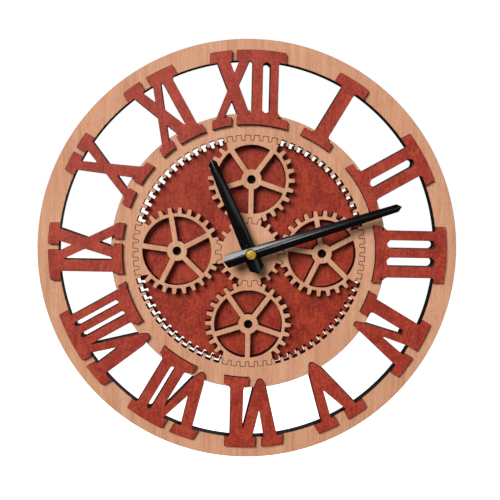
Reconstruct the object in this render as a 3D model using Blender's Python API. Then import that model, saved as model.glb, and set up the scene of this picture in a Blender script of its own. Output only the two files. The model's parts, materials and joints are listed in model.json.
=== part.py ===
"""Wall clock cut from thin wood: gear-shaped face, Roman numerals between two rings, quartz movement.

The clock faces -Y, with 12 o'clock towards +Z and 3 o'clock towards +X. The origin is on the
hands' axis, on the flat back that rests against the wall. Lengths below are in millimetres.
Depths are measured forwards from the wall. Clock angles are in degrees, clockwise from 12.
"""
from math import asin, ceil, cos, degrees, pi, radians, sin, sqrt

import bmesh
import bpy
from mathutils import Matrix, Vector
from mathutils.geometry import delaunay_2d_cdt

MM = 0.001
GAP = 0.3                 # clearance between pieces that touch or are glued
KERF = 0.3                # width of the cut between pieces that interlock

# Layers, from the wall forwards
CASE_DEPTH = 16.5
GASKET_THICKNESS = 1.0
DISC_THICKNESS = 3.0
BOARD_THICKNESS = 8.0
NUMERAL_THICKNESS = 3.0
GASKET_BACK = CASE_DEPTH + GAP
DISC_BACK = GASKET_BACK + GASKET_THICKNESS + GAP
BOARD_BACK = DISC_BACK + DISC_THICKNESS + GAP
BOARD_FRONT = BOARD_BACK + BOARD_THICKNESS
NUMERAL_BACK = BOARD_FRONT + GAP
NUMERAL_FRONT = NUMERAL_BACK + NUMERAL_THICKNESS

# Rings
OUTER_RADIUS = 150.0
OUTER_RING_INNER = 135.4
GEAR_RING_OUTER = 98.5
RING_SIDES = 96

# Internal teeth of the gear ring
RING_TEETH = 80
RING_ROOT = 83.4
RING_TIP = 79.7
RING_ROOT_HALF = 1.25
RING_TIP_HALF = 0.95

# Sun gear
SUN_TEETH = 20
SUN_PHASE = -1.0          # angle of the tooth nearest 12 o'clock
SUN_ROOT = 20.5
SUN_TIP = 24.5
SUN_ROOT_HALF = 1.55
SUN_TIP_HALF = 1.05
SUN_BORE = 4.3

# Planet gears: angle of the centre, angle of one tooth, angle of one spoke
PLANETS = {"top": (0.0, 7.5, 180.0), "right": (90.0, 3.0, 61.5),
           "bottom": (180.0, 7.5, 180.0), "left": (270.0, 3.0, 61.5)}
PLANET_ORBIT = 52.0
PLANET_TEETH = 26
PLANET_ROOT = 27.0
PLANET_TIP = 31.0
PLANET_ROOT_HALF = 1.75
PLANET_TIP_HALF = 1.25
PLANET_RIM = 24.5
PLANET_HUB = 7.2
PLANET_BORE = 3.1
SPOKES = 5
SPOKE_HALF = 1.85
SUN_MESH_PITCHES = 2.3    # own teeth left out on each side of the line to the ring
RING_MESH_HALF_ANGLE = 13.4
RING_MESH_START = 72.0
SUN_MESH_HALF_ANGLE = 18.0
SUN_MESH_END = 28.0

# Red disc behind the gears: as if cut from inside such a ring, with a notch for each ring tooth.
# It is glued on a little turned and a little to the right.
DISC_TIP = 82.5
DISC_NOTCH_BOTTOM = 79.4
DISC_NOTCH_TOP_HALF = 1.3
DISC_NOTCH_BOTTOM_HALF = 1.15
DISC_TURN = 1.2           # angle of the notch nearest 12 o'clock
DISC_SHIFT = (1.45, -0.2)

# Numerals: bands of the outer and inner serifs, and the levels where strokes are measured
OUTER_BAND = (134.5, 142.0)
INNER_BAND = (90.5, 96.5)
STROKE_TOP = 133.0
STROKE_BOTTOM = 98.0
SLOT_TOP = 133.6
SLOT_BOTTOM = 98.6
V_TIP = 91.3
WEB_TOP = 100.6            # joins two letters' bridges close to the gear ring

# Each numeral: outer serifs, inner serifs, blocks and slots as (left, right) at its own axis;
# strokes as (left, right) at the top and at the bottom; a V as its four top corners with the
# apex between its strokes in their middle, its two bottom corners and its tip; joins fill
# rectangles between two letters; a web joins two letters' bridges only.
NUMERALS = {
    1: dict(outer=[(-11.5, 12.5)], inner=[(-13, 10.5)], blocks=[(-5, 5)]),
    2: dict(outer=[(-19.5, 18.5)], inner=[(-20, 18)], blocks=[(-12, 10.3)], slots=[(-4, 2)]),
    3: dict(outer=[(-21, 19.5)], inner=[(-21, 20)], blocks=[(-17.5, 16)],
            slots=[(-11, -5), (1.5, 8)]),
    4: dict(outer=[(-23, -1.5), (4.5, 21.5)], inner=[(-21, -4.5)], blocks=[(-18.5, -9)],
            joins=[(-9.5, -6.2, 125, 134.8)],
            v=(-8.3, -1.7, 6.2, 15.8, (2.5, 113.5), 0.8, 7.7, 4.5)),
    5: dict(outer=[(-20.5, -4.5), (3.5, 19.5)],
            v=(-15, -6.8, 6.4, 14, (1.5, 113.5), -5, 4.8, 0)),
    6: dict(outer=[(-27, -11.5), (-7, 15.5)], inner=[(-1.3, 16.5)], blocks=[(2.5, 11.7)],
            v=(-23.2, -13.3, -4.5, 3.6, (-9.3, 114), -14.2, -5, -9.5)),
    7: dict(outer=[(-35, -17.5), (-11.5, 17.5)], inner=[(-10, 17.8)], blocks=[(-4.5, 13.5)],
            slots=[(2.8, 6)], v=(-31.5, -23, -8, -3, (-15.5, 111), -20.7, -12, -16.4)),
    8: dict(outer=[(-32.5, -15), (-10, 26.5)], inner=[(-6, 24.5)], blocks=[(-2.5, 22)],
            slots=[(4, 7.5), (13, 16.5)], v=(-26.5, -17, -7.5, -1.5, (-14, 114), -21.5, -12.5, -17)),
    9: dict(outer=[(-22, -0.5), (3.5, 18.5)], inner=[(-17, 4.5), (8, 19)], blocks=[(-15.5, -7.2)],
            strokes=[(-7.5, -0.5, 9.5, 16.8), (5.5, 14.3, -5, 2.5)]),
    10: dict(outer=[(-17, -3), (0.5, 12.5)], inner=[(-17, -5), (1, 17)],
             strokes=[(-12.5, -5.5, 2.7, 11.6), (2.2, 9, -11.5, -6)]),
    11: dict(outer=[(-24, -10), (-5, 15.5)], inner=[(-21, -10), (-6, 14)], blocks=[(3.6, 11)],
             strokes=[(-19, -11.5, -4.5, 4.5), (-4, 2, -17, -11.5)]),
    12: dict(outer=[(-31, -15.5), (-12.5, 22.5)], inner=[(-28.5, -15), (-11.5, 24.5)],
             blocks=[(-1, 17.3)], slots=[(6.2, 11.5)], web=(-4.5, 0),
             strokes=[(-26, -16.7, -11.5, -2.8), (-11, -4, -24.2, -18.8)]),
}

# Hands, set to 11:12
MINUTE_ANGLE = 71.4
HOUR_ANGLE = 330.0 + MINUTE_ANGLE / 12
HAND_SHEET = 0.45
HAND_RIDGE = 1.0
# tip, shoulder at the tip, its half width, shoulder at the tail, its half width, tail
MINUTE_HAND = (110.5, 107.5, 2.8, -17.5, 4.75, -19.5)
HOUR_HAND = (70.5, 67.8, 3.1, -11.5, 5.3, -15.5)
HOUR_HAND_DEPTH = 41.0
MINUTE_HAND_DEPTH = 44.6
MINUTE_HAND_HOLE = 1.5
HOUR_HAND_HOLE = 2.8
CAP_RADIUS = 3.7
CAP_BACK = 46.4
CAP_FRONT = 50.0
CAP_CROWN = 1.2           # depth of the rounded front
CAP_CHAMFER = 0.3

# Movement case
CASE_HALF = 28.0
CASE_CORNER = 3.0
WALL = 1.5
FLOOR_DEPTH = 15.0        # inside of the case's front wall
BAY_SPLIT = -9.2          # bottom of the gear bay
BATTERY_BAY_TOP = -10.4
COVER_THICKNESS = 1.5
MIDDLE_BACK = 7.2
MIDDLE_FRONT = 8.0
MIDDLE_RIGHT = 17.0
HANGER_BACK = 1.8
HANGER_FRONT = 3.6
HANGER_NECK_HALF = 6.0

# Bushing, nut and shafts
BUSHING_RADIUS = 4.0
BUSHING_BORE = 2.9
BUSHING_FLANGE = 5.0
BUSHING_FLANGE_THICKNESS = 1.0
BUSHING_CHAMFER = 0.5
BUSHING_FRONT = 36.0
NUT_FLATS = 10.0
NUT_THICKNESS = 2.0
GASKET_RADIUS = 12.0
GASKET_BORE = 4.5
MINUTE_SHAFT = 1.6
MINUTE_NECK = 1.2
MINUTE_NECK_FRONT = 48.0
HOUR_PIPE_BORE = 1.9

# Wheels and pinions: teeth, tip radius, back and front; meshing tips stop TIP_GAP short
TIP_GAP = 0.15
TOOTH_HEIGHT = 0.7
CENTRE_WHEEL = (48, 9.0, 5.6, 6.4)
CANNON_PINION = (10, 2.9, 8.4, 9.8)
MINUTE_WHEEL = (30, 8.4, 8.4, 9.8)
MINUTE_PINION = (8, 2.2, 9.6, 12.2)
HOUR_WHEEL = (32, 9.25, 10.6, 11.8)
THIRD_WHEEL = (45, 8.9, 3.4, 4.2)
THIRD_PINION = (6, 1.7, 4.0, 6.4)
SECONDS_WHEEL = (36, 8.0, 2.2, 2.9)
SECONDS_PINION = (6, 1.7, 2.7, 4.4)
INTERMEDIATE_WHEEL = (30, 5.5, 3.2, 3.9)
INTERMEDIATE_PINION = (6, 1.7, 2.1, 3.4)
ROTOR_PINION = (6, 1.2, 3.2, 4.4)

# Shafts and arbors: radius, back and front
CENTRE_SHAFT = (MINUTE_SHAFT, 6.0, 44.2)
CENTRE_NECK = (MINUTE_NECK, 40.0, MINUTE_NECK_FRONT)
HOUR_PIPE = (2.5, 11.2, 42.4)
MINUTE_ARBOR = (0.6, 9.0, FLOOR_DEPTH - GAP)
THIRD_ARBOR = (0.6, 1.8, 6.9)
SECONDS_ARBOR = (0.6, 1.8, 5.3)
INTERMEDIATE_ARBOR = (0.6, 1.8, 6.9)
ROTOR_ARBOR = (0.4, 1.8, 6.9)
ROTOR_MAGNET = (2.6, 4.3, 6.3)
KNOB_SHAFT = (1.2, 2.0, 9.0)

# Where the wheels stand
MOTION_ANGLE = 60.0       # clock angle of the minute wheel, seen from the centre
KNOB_ANGLE = -20.0        # clock angle of the knob, seen from the minute wheel
THIRD_ANGLE = 300.0
INTERMEDIATE_ANGLE = 105.0
ROTOR_ANGLE = 100.0       # seen from the intermediate wheel
KNOB_RADIUS = 5.6
KNOB_GROOVE = 0.4
KNOB_RIBS = 20
KNOB_BACK = 0.4
KNOB_FRONT = 2.4
KNOB_HOLE = 6.2

# Stepping motor and electrics
STATOR_HOLE = 3.1
STATOR_HALF = 4.4         # half the plate's width across the rotor
STATOR_LEFT = 4.2         # reach to the left of the rotor's axis
STATOR_RIGHT = 3.4        # reach to the right of the coil's axis
STATOR_BACK = 4.8
STATOR_FRONT = 5.6
COIL_RADIUS = 3.2
COIL_BORE = 1.35
COIL_X = 22.0
COIL_BOTTOM = 3.0
COIL_TOP = 20.0
COIL_FLANGE = 0.8
COIL_STEP = 0.5
CORE_HALF = 0.8
CORE_END = 2.6            # reach of the core above the coil
CIRCUIT_BOARD = (-25.6, -11.5, -6.0, 25.0)
CIRCUIT_BACK = 9.4
CIRCUIT_FRONT = 10.4
CHIP = (-21.5, -16.0, 4.0, 9.5)
CHIP_FRONT = 12.0
CRYSTAL_RADIUS = 1.0
CRYSTAL_LENGTH = 6.0
CRYSTAL_DEPTH = 11.8
CRYSTAL_FOOT = (-14.5, 14.0)
BATTERY_RADIUS = 7.25
BATTERY_Z = -18.6
BATTERY_DEPTH = 7.9
BATTERY_LEFT = -24.8
BATTERY_RIGHT = 24.2
BATTERY_EDGE = 0.5
BATTERY_NUB_RADIUS = 2.6
BATTERY_NUB = 1.2
CONTACT_HALF = 5.0
CONTACT_THICKNESS = 0.4
CONTACT_BACK = 2.0
CONTACT_FRONT = 14.0

WOOD = (0.70, 0.37, 0.20)
RED_WOOD = (0.40, 0.055, 0.035)
BLACK = (0.012, 0.012, 0.012)
BRASS = (0.80, 0.56, 0.16)
STEEL = (0.62, 0.62, 0.60)
COPPER = (0.62, 0.22, 0.08)
BOARD_GREEN = (0.03, 0.16, 0.06)
JACKET = (0.05, 0.05, 0.06)
WHITE_PLASTIC = (0.80, 0.80, 0.76)


def clear_scene():
    for thing in list(bpy.data.objects):
        bpy.data.objects.remove(thing)


def finish_material(name, colour, roughness, metallic=0.0):
    material = bpy.data.materials.new(name)
    material.use_nodes = True
    shader = material.node_tree.nodes["Principled BSDF"]
    shader.inputs["Base Color"].default_value = (*colour, 1.0)
    shader.inputs["Roughness"].default_value = roughness
    shader.inputs["Metallic"].default_value = metallic
    return material


def add_object(name, mesh, finish, at=(0.0, 0.0)):
    """Link a mesh as an object whose origin is at clock-plane point `at`, in millimetres."""
    thing = bpy.data.objects.new(name, mesh)
    thing.location = (at[0] * MM, 0.0, at[1] * MM)
    thing.data.materials.append(finish_material(name, *finish))
    bpy.context.scene.collection.objects.link(thing)
    return thing


# ---- Plane geometry: points are (x, z) in millimetres ----

def polar(angle, radius, centre=(0.0, 0.0)):
    turn = radians(angle)
    return (centre[0] + radius * sin(turn), centre[1] + radius * cos(turn))


def circle(radius, sides, centre=(0.0, 0.0), start=0.0):
    return [polar(start + 360.0 * i / sides, radius, centre) for i in range(sides)]


def rectangle(left, right, bottom, top):
    return [(left, bottom), (right, bottom), (right, top), (left, top)]


def arc_band(low, high, inner, outer, steps=4, centre=(0.0, 0.0)):
    """Outline between two radii and two clock angles."""
    angles = [low + (high - low) * i / steps for i in range(steps + 1)]
    outside = [polar(angle, outer, centre) for angle in angles]
    inside = [polar(angle, inner, centre) for angle in reversed(angles)]
    return outside + inside


def tooth(angle, base, tip, base_half, tip_half, centre=(0.0, 0.0)):
    """Straight-flanked tooth from radius base to radius tip."""
    out = Vector(polar(angle, 1.0))
    side = Vector((out.y, -out.x))
    middle = Vector(centre)
    corners = ((base, -base_half), (base, base_half), (tip, tip_half), (tip, -tip_half))
    return [tuple(middle + out * radius + side * half) for radius, half in corners]


def gear_outline(teeth, tip):
    """Pointed-tooth outline of a small movement wheel."""
    root = tip - TOOTH_HEIGHT
    step = 180.0 / teeth
    return [polar(step * i, root if i % 2 else tip) for i in range(2 * teeth)]


def contains(outline, point):
    """Even-odd test of a point against a closed outline."""
    x, z = point
    inside = False
    last = outline[-1]
    for corner in outline:
        if (corner[1] > z) != (last[1] > z):
            crossing = (last[0] - corner[0]) * (z - corner[1]) / (last[1] - corner[1]) + corner[0]
            if x < crossing:
                inside = not inside
        last = corner
    return inside


def is_material(point, layers):
    """The last layer that speaks for a point decides whether it is wood or air."""
    solid = False
    for kind, outline in layers:
        within = contains(outline, point)
        if kind == "add" and within:
            solid = True
        elif kind == "cut" and within:
            solid = False
        elif kind == "keep" and not within:
            solid = False
    return solid


def cut_mesh(name, layers, back, front):
    """Closed plate cut to the region that `layers` describes, between two depths."""
    points = []
    edges = []
    for _, outline in layers:
        first = len(points)
        count = len(outline)
        points += [Vector(corner) for corner in outline]
        edges += [(first + i, first + (i + 1) % count) for i in range(count)]
    verts, _, faces, _, _, _ = delaunay_2d_cdt(points, edges, [], 0, 1e-5)
    bm = bmesh.new()
    corners = [bm.verts.new((v.x * MM, -back * MM, v.y * MM)) for v in verts]
    for face in faces:
        middle = sum((verts[i] for i in face), Vector((0.0, 0.0))) / len(face)
        if is_material(middle, layers):
            bm.faces.new([corners[i] for i in face])
    loose = [v for v in bm.verts if not v.link_faces]
    bmesh.ops.delete(bm, geom=loose, context="VERTS")
    bmesh.ops.dissolve_limit(bm, angle_limit=radians(0.4), verts=bm.verts, edges=bm.edges)
    thicken(bm, (front - back) * MM)
    mesh = bpy.data.meshes.new(name)
    bm.to_mesh(mesh)
    bm.free()
    return mesh


def thicken(bm, thickness):
    """Extrude every face of a flat sheet towards the front and close it."""
    grown = bmesh.ops.extrude_face_region(bm, geom=bm.faces[:])["geom"]
    moved = [item for item in grown if isinstance(item, bmesh.types.BMVert)]
    bmesh.ops.translate(bm, vec=(0.0, -thickness, 0.0), verts=moved)
    bmesh.ops.recalc_face_normals(bm, faces=bm.faces)


def plate(name, layers, back, front, finish, at=(0.0, 0.0)):
    return add_object(name, cut_mesh(name, layers, back, front), finish, at)


# ---- Turned and stacked pieces ----

def turned_mesh(name, profile, sides):
    """Solid of revolution about the depth axis from a closed profile of (radius, depth)."""
    bm = bmesh.new()
    rings = []
    for radius, depth in profile:
        if radius == 0.0:
            rings.append([bm.verts.new((0.0, -depth * MM, 0.0))])
        else:
            ring = circle(radius, sides)
            rings.append([bm.verts.new((x * MM, -depth * MM, z * MM)) for x, z in ring])
    for here, there in zip(rings, rings[1:] + rings[:1]):
        for i in range(sides):
            corners = [here[i % len(here)], here[(i + 1) % len(here)],
                       there[(i + 1) % len(there)], there[i % len(there)]]
            unique = list(dict.fromkeys(corners))
            if len(unique) > 2:
                bm.faces.new(unique)
    bmesh.ops.recalc_face_normals(bm, faces=bm.faces)
    mesh = bpy.data.meshes.new(name)
    bm.to_mesh(mesh)
    bm.free()
    return mesh


def smooth(thing, angle=40.0):
    thing.data.shade_smooth()
    thing.data.set_sharp_from_angle(angle=radians(angle))
    return thing


def union(target, others):
    """Join solids that overlap into the target, and drop them."""
    apply_boolean(target, others, "UNION")


def apply_boolean(target, others, operation):
    for other in others:
        modifier = target.modifiers.new(operation.lower(), "BOOLEAN")
        modifier.operation = operation
        modifier.object = other
        modifier.solver = "EXACT"
    bpy.context.view_layer.update()
    graph = bpy.context.evaluated_depsgraph_get()
    mesh = bpy.data.meshes.new_from_object(target.evaluated_get(graph))
    target.modifiers.clear()
    target.data = mesh
    for other in others:
        bpy.data.objects.remove(other)


def cutter(name, layers, back, front, at=(0.0, 0.0)):
    thing = bpy.data.objects.new(name, cut_mesh(name, layers, back, front))
    thing.location = (at[0] * MM, 0.0, at[1] * MM)
    bpy.context.scene.collection.objects.link(thing)
    return thing


def post(name, radius, back, front, sides=12, at=(0.0, 0.0)):
    return cutter(name, [("add", circle(radius, sides))], back, front, at)


# ---- Wooden face ----

def ring_tooth_layers(kind, grow=0.0, angles=None):
    """Teeth of the gear ring, or the same teeth grown by a kerf to cut their mates."""
    pitch = 360.0 / RING_TEETH
    angles = angles or [pitch * i for i in range(RING_TEETH)]
    base = RING_ROOT + 1.0
    return [(kind, tooth(a, base, RING_TIP - grow, RING_ROOT_HALF + grow, RING_TIP_HALF + grow))
            for a in angles]


def sun_tooth_layers(kind, grow=0.0, angles=None):
    pitch = 360.0 / SUN_TEETH
    angles = angles or [SUN_PHASE + pitch * i for i in range(SUN_TEETH)]
    base = SUN_ROOT - 1.0
    return [(kind, tooth(a, base, SUN_TIP + grow, SUN_ROOT_HALF + grow, SUN_TIP_HALF + grow))
            for a in angles]


def build_outer_ring():
    layers = [("add", circle(OUTER_RADIUS, RING_SIDES)),
              ("cut", circle(OUTER_RING_INNER, RING_SIDES))]
    plate("outer_ring", layers, BOARD_BACK, BOARD_FRONT, (WOOD, 0.55))


def build_gear_ring():
    layers = [("add", circle(GEAR_RING_OUTER, RING_SIDES)),
              ("cut", circle(RING_ROOT, RING_TEETH))]
    layers += ring_tooth_layers("add")
    plate("gear_ring", layers, BOARD_BACK, BOARD_FRONT, (WOOD, 0.55))


def build_sun_gear():
    layers = [("add", circle(SUN_ROOT, 2 * SUN_TEETH, start=SUN_PHASE))]
    layers += sun_tooth_layers("add")
    layers.append(("cut", circle(SUN_BORE, 20)))
    plate("sun_gear", layers, BOARD_BACK, BOARD_FRONT, (WOOD, 0.55))


def planet_window(middle, centre):
    """Opening between two spokes whose sides stay parallel."""
    half_pitch = 180.0 / SPOKES
    outer_half = half_pitch - degrees(asin(SPOKE_HALF / PLANET_RIM))
    inner_half = half_pitch - degrees(asin(SPOKE_HALF / PLANET_HUB))
    outer = [polar(middle + outer_half * (i / 4 - 1), PLANET_RIM, centre) for i in range(9)]
    inner = [polar(middle - inner_half * (i / 2 - 1), PLANET_HUB, centre) for i in range(5)]
    return outer + inner


def build_planet(side, direction, tooth_angle, spoke_angle):
    """Planet whose teeth fill the gaps of the ring and the sun where it meets them."""
    centre = polar(direction, PLANET_ORBIT)
    pitch = 360.0 / PLANET_TEETH
    ring_pitch = 360.0 / RING_TEETH
    sun_pitch = 360.0 / SUN_TEETH
    mesh_low = direction - RING_MESH_HALF_ANGLE
    mesh_high = direction + RING_MESH_HALF_ANGLE
    sun_middle = direction + SUN_PHASE
    layers = [("add", circle(PLANET_ROOT, PLANET_TEETH, centre, tooth_angle)),
              ("add", arc_band(mesh_low, mesh_high, RING_MESH_START, RING_ROOT - KERF)),
              ("add", arc_band(sun_middle - SUN_MESH_HALF_ANGLE, sun_middle + SUN_MESH_HALF_ANGLE,
                               SUN_ROOT, SUN_MESH_END))]
    for i in range(PLANET_TEETH):
        angle = tooth_angle + pitch * i
        away = abs((angle - direction + 180.0) % 360.0 - 180.0)
        if away > SUN_MESH_PITCHES * pitch:
            layers.append(("add", tooth(angle, PLANET_ROOT - 1.0, PLANET_TIP,
                                        PLANET_ROOT_HALF, PLANET_TIP_HALF, centre)))
    near = [direction + ring_pitch * i for i in range(-3, 4)]
    layers += ring_tooth_layers("cut", KERF, near)
    layers.append(("cut", circle(SUN_ROOT + KERF, 2 * SUN_TEETH, start=SUN_PHASE)))
    layers += sun_tooth_layers("cut", KERF, [sun_middle + sun_pitch * i for i in (-1, 0, 1)])
    for i in range(SPOKES):
        middle = spoke_angle + 360.0 / SPOKES * (i + 0.5)
        layers.append(("cut", planet_window(middle, centre)))
    layers.append(("cut", circle(PLANET_BORE, 14, centre)))
    plate("planet_gear_" + side, layers, BOARD_BACK, BOARD_FRONT, (WOOD, 0.55))


def build_backing_disc():
    pitch = 360.0 / RING_TEETH
    layers = [("add", circle(DISC_TIP, 2 * RING_TEETH, DISC_SHIFT, DISC_TURN))]
    for i in range(RING_TEETH):
        notch = tooth(DISC_TURN + pitch * i, DISC_TIP + 1.0, DISC_NOTCH_BOTTOM,
                      DISC_NOTCH_TOP_HALF, DISC_NOTCH_BOTTOM_HALF, DISC_SHIFT)
        layers.append(("cut", notch))
    layers.append(("cut", circle(SUN_BORE, 20)))
    plate("backing_disc", layers, DISC_BACK, DISC_BACK + DISC_THICKNESS, (RED_WOOD, 0.6))


# ---- Numerals, drawn about their own axis: x across, y outwards from the clock's centre ----

def placed(points, angle):
    """Turn a numeral's own outline to its hour."""
    turn = radians(angle)
    return [(x * cos(turn) + y * sin(turn), y * cos(turn) - x * sin(turn)) for x, y in points]


def serif(left, right, band):
    """Bar between two radii with straight ends."""
    low, high = band
    steps = max(2, ceil((right - left) / 9.0))
    xs = [left + (right - left) * i / steps for i in range(steps + 1)]
    top = [(x, sqrt(high * high - x * x)) for x in xs]
    bottom = [(x, sqrt(low * low - x * x)) for x in reversed(xs)]
    return top + bottom


def stroke(top_left, top_right, bottom_left, bottom_right):
    """Slanted bar, carried a little past both levels so that it runs into the serifs."""
    lower = INNER_BAND[0] + 1.8
    upper = OUTER_BAND[0] + 0.8
    span = STROKE_TOP - STROKE_BOTTOM

    def across(top, bottom, level):
        return bottom + (top - bottom) * (level - STROKE_BOTTOM) / span

    return [(across(top_left, bottom_left, upper), upper),
            (across(top_right, bottom_right, upper), upper),
            (across(top_right, bottom_right, lower), lower),
            (across(top_left, bottom_left, lower), lower)]


def slot(left, right):
    """Gap between two stems, with cut corners at both ends."""
    corner = min(2.0, (right - left) / 3)
    return [(left + corner, SLOT_TOP), (right - corner, SLOT_TOP), (right, SLOT_TOP - corner),
            (right, SLOT_BOTTOM + corner), (right - corner, SLOT_BOTTOM),
            (left + corner, SLOT_BOTTOM), (left, SLOT_BOTTOM + corner), (left, SLOT_TOP - corner)]


def letter_v(outer_left, inner_left, inner_right, outer_right, apex, low_left, low_right, tip):
    """V with a narrow rounded point below the inner band's edge."""
    top = OUTER_BAND[0] + 0.6
    return [(outer_left, top), (inner_left, top), apex, (inner_right, top), (outer_right, top),
            (low_right, STROKE_BOTTOM), (tip + 1.8, V_TIP + 1.0), (tip, V_TIP),
            (tip - 1.8, V_TIP + 1.0), (low_left, STROKE_BOTTOM)]


def brackets(shape):
    """Small slanted fillets where single stems run into their serifs."""
    size = 2.6
    found = []
    for left, right in shape.get("blocks", []):
        for edge, away in ((left, -1), (right, 1)):
            for level, step, bars in ((OUTER_BAND[0], -1, "outer"), (INNER_BAND[1], 1, "inner")):
                reach = edge + away * (size + 0.6)
                if any(low <= min(edge, reach) and max(edge, reach) <= high
                       for low, high in shape.get(bars, [])):
                    found.append([(edge - away, level - step), (reach - 0.6 * away, level - step),
                                  (edge + away * size * 0.35, level + step * size * 0.35),
                                  (edge, level + step * size), (edge - away, level + step * size)])
    return found


def numeral_layers(shape, angle, serifs=True):
    outlines = []
    if serifs:
        outlines += [("add", serif(*ends, OUTER_BAND)) for ends in shape["outer"]]
        outlines += [("add", serif(*ends, INNER_BAND)) for ends in shape.get("inner", [])]
        outlines += [("add", points) for points in brackets(shape)]
    outlines += [("add", stroke(left, right, left, right)) for left, right in shape.get("blocks", [])]
    outlines += [("add", stroke(*ends)) for ends in shape.get("strokes", [])]
    outlines += [("add", rectangle(*ends)) for ends in shape.get("joins", [])]
    if "v" in shape:
        outlines.append(("add", letter_v(*shape["v"])))
    outlines += [("cut", slot(*ends)) for ends in shape.get("slots", [])]
    return [(kind, placed(points, angle)) for kind, points in outlines]


def build_numeral(hour):
    angle = 30.0 * (hour % 12)
    shape = NUMERALS[hour]
    plate(f"numeral_{hour}", numeral_layers(shape, angle), NUMERAL_BACK, NUMERAL_FRONT,
          (RED_WOOD, 0.6))
    layers = numeral_layers(shape, angle, serifs=False)
    if "web" in shape:
        foot = rectangle(*shape["web"], INNER_BAND[1], WEB_TOP)
        layers.append(("add", placed(foot, angle)))
    layers.append(("cut", circle(GEAR_RING_OUTER + GAP, RING_SIDES)))
    layers.append(("keep", circle(OUTER_RING_INNER - GAP, RING_SIDES)))
    plate(f"bridge_{hour}", layers, BOARD_BACK, BOARD_FRONT, (WOOD, 0.6))


# ---- Hands ----

def build_hand(name, shape, angle, depth, hole):
    """Sheet folded along its length, with the fold towards the front."""
    tip, tip_shoulder, tip_half, tail_shoulder, tail_half, tail = shape
    edge = [(0.0, tip), (tip_half, tip_shoulder), (tail_half, tail_shoulder), (0.0, tail),
            (-tail_half, tail_shoulder), (-tip_half, tip_shoulder)]
    bm = bmesh.new()
    sheets = []
    for level in (depth, depth + HAND_SHEET):
        rows = []
        for across, along in edge:
            lift = HAND_RIDGE if across == 0.0 else 0.0
            point = placed([(across, along)], angle)[0]
            rows.append(bm.verts.new((point[0] * MM, -(level + lift) * MM, point[1] * MM)))
        sheets.append(rows)
    for rows in sheets:
        bm.faces.new(rows[:4])
        bm.faces.new([rows[0], *rows[3:]])
    under, over = sheets
    for i in range(6):
        j = (i + 1) % 6
        bm.faces.new([under[i], under[j], over[j], over[i]])
    bmesh.ops.recalc_face_normals(bm, faces=bm.faces)
    mesh = bpy.data.meshes.new(name)
    bm.to_mesh(mesh)
    bm.free()
    hand = add_object(name, mesh, (BLACK, 0.3))
    drill = post(name + "_drill", hole, depth - 1.0, depth + 3.0, sides=16)
    apply_boolean(hand, [drill], "DIFFERENCE")


def build_cap():
    """Turned cap over the end of the minute shaft, with an elliptical front."""
    inner = MINUTE_NECK + GAP
    shoulder = CAP_FRONT - CAP_CROWN
    crown = [(CAP_RADIUS * cos(radians(t)), shoulder + CAP_CROWN * sin(radians(t))) for t in (0, 30, 60)]
    profile = [(inner, CAP_BACK), (CAP_RADIUS - CAP_CHAMFER, CAP_BACK),
               (CAP_RADIUS, CAP_BACK + CAP_CHAMFER), *crown, (0.0, CAP_FRONT),
               (0.0, MINUTE_NECK_FRONT + GAP), (inner, MINUTE_NECK_FRONT + GAP)]
    smooth(add_object("hand_cap", turned_mesh("hand_cap", profile, 24), (BRASS, 0.25, 1.0)))


# ---- Movement: case ----

def case_outline(half, corner):
    """Square with cut and softened corners."""
    points = []
    for turn in range(4):
        middle = (half - corner, half - corner)
        bend = [polar(22.5 * i, corner, middle) for i in range(4, -1, -1)]
        points += [placed([point], 90.0 * -turn)[0] for point in bend]
    return points


def build_case():
    case = plate("movement_case", [("add", case_outline(CASE_HALF, CASE_CORNER))],
                 0.0, CASE_DEPTH, (BLACK, 0.5))
    inside = CASE_HALF - WALL
    gear_bay = rectangle(-inside, inside, BAY_SPLIT, inside)
    battery_bay = rectangle(-inside, inside, -inside, BATTERY_BAY_TOP)
    tab_half = HANGER_NECK_HALF + GAP
    tab_notch = rectangle(-tab_half, tab_half, inside - 1.0, CASE_HALF + 1.0)
    cutters = [cutter("gear_bay", [("add", gear_bay)], -1.0, FLOOR_DEPTH),
               cutter("battery_bay", [("add", battery_bay)], -1.0, FLOOR_DEPTH + 0.3),
               cutter("tab_notch", [("add", tab_notch)], -1.0, HANGER_FRONT + GAP),
               post("bushing_hole", BUSHING_RADIUS + GAP, FLOOR_DEPTH - 1.0, CASE_DEPTH + 1.0, 20)]
    apply_boolean(case, cutters, "DIFFERENCE")


def build_back_cover(knob):
    inside = CASE_HALF - WALL - GAP
    layers = [("add", rectangle(-inside, inside, BAY_SPLIT + GAP, inside)),
              ("cut", circle(KNOB_HOLE, 24, knob))]
    plate("back_cover", layers, 0.0, COVER_THICKNESS, (BLACK, 0.5))


def build_hanger():
    """Plastic loop whose foot is trapped between the case and the cover."""
    foot_half, ear_half = 9.0, 10.0
    right = [(foot_half, 24.6), (foot_half, 26.1), (HANGER_NECK_HALF, 26.1),
             (HANGER_NECK_HALF, 29.0), (ear_half, 31.5), (ear_half, 38.0), (7.0, 41.0)]
    left = [(-x, z) for x, z in reversed(right)]
    nail_slot = [(-4.0, 31.5), (4.0, 31.5), (4.0, 35.0), (1.8, 37.4), (-1.8, 37.4), (-4.0, 35.0)]
    plate("hanger_loop", [("add", right + left), ("cut", nail_slot)],
          HANGER_BACK, HANGER_FRONT, (BLACK, 0.5))


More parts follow.
